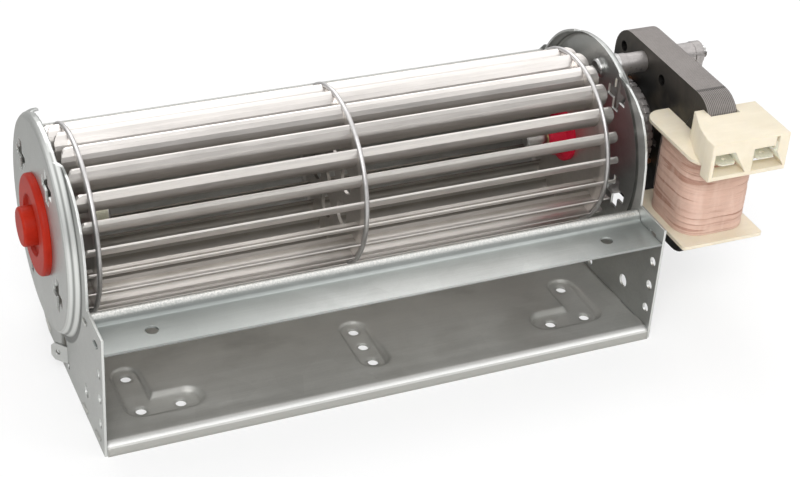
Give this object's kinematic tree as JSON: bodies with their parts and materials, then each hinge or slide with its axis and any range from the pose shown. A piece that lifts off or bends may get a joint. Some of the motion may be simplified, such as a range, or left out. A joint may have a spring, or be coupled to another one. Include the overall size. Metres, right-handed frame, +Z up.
{
  "type": "tangential blower with fan motor",
  "caption": "Tangential blower: a bladed rotor in a sheet-metal scroll with an outlet below, driven by a shaded-pole fan motor on its right end.",
  "frame": {"origin": "centre of the four outer floor holes, on the plane that the blower stands on", "axes": "+X along the rotor towards the motor, +Y to the rear, away from the outlet, +Z up"},
  "size_m": [0.2392, 0.1051, 0.0818],
  "materials": {
    "galvanised": "galvanised, satin",
    "blade_metal": "bright rolled",
    "steel": "bright",
    "laminations": "dark, stacked sheet edges",
    "zinc": "die-cast, matte",
    "silicone": "satin, red",
    "bronze": "sintered and turned",
    "cream_plastic": "moulded",
    "copper": "enamelled wire",
    "terminal_metal": "tinned"
  },
  "bodies": {
    "housing": {"left_end_plate": "galvanised", "right_end_plate": "galvanised", "scroll_sheet": "galvanised", "tongue_sheet": "galvanised", "bearing_bush": "silicone", "stub_bearing": "bronze", "stator_stack": "laminations", "coil_core": "laminations", "shading_rings": "copper", "bobbin": "cream_plastic", "winding": "copper", "connector_housing": "cream_plastic", "terminals": "terminal_metal", "inner_bracket": "zinc", "outer_bracket": "zinc", "inner_bearing": "bronze", "outer_bearing": "bronze", "bearing_clips": "steel", "mounting_spacers": "steel", "motor_screws": "steel"},
    "impeller": {"impeller_blades": "blade_metal", "left_disc": "blade_metal", "middle_disc": "blade_metal", "right_disc": "blade_metal", "left_ring": "steel", "middle_ring": "steel", "right_ring": "steel", "stub_collar": "bronze", "stub_shaft": "steel", "rubber_hub": "silicone", "hub_sleeve": "bronze", "motor_shaft": "steel", "rotor_core": "laminations", "rotor_cage": "blade_metal", "thrust_washers": "steel"}
  },
  "joints": [
    {"name": "impeller_spin", "type": "hinge", "parent": "housing", "child": "impeller", "pos_m": [0, 0.03245, 0.0474], "axis": [1, 0, 0], "continuous": true}
  ]
}
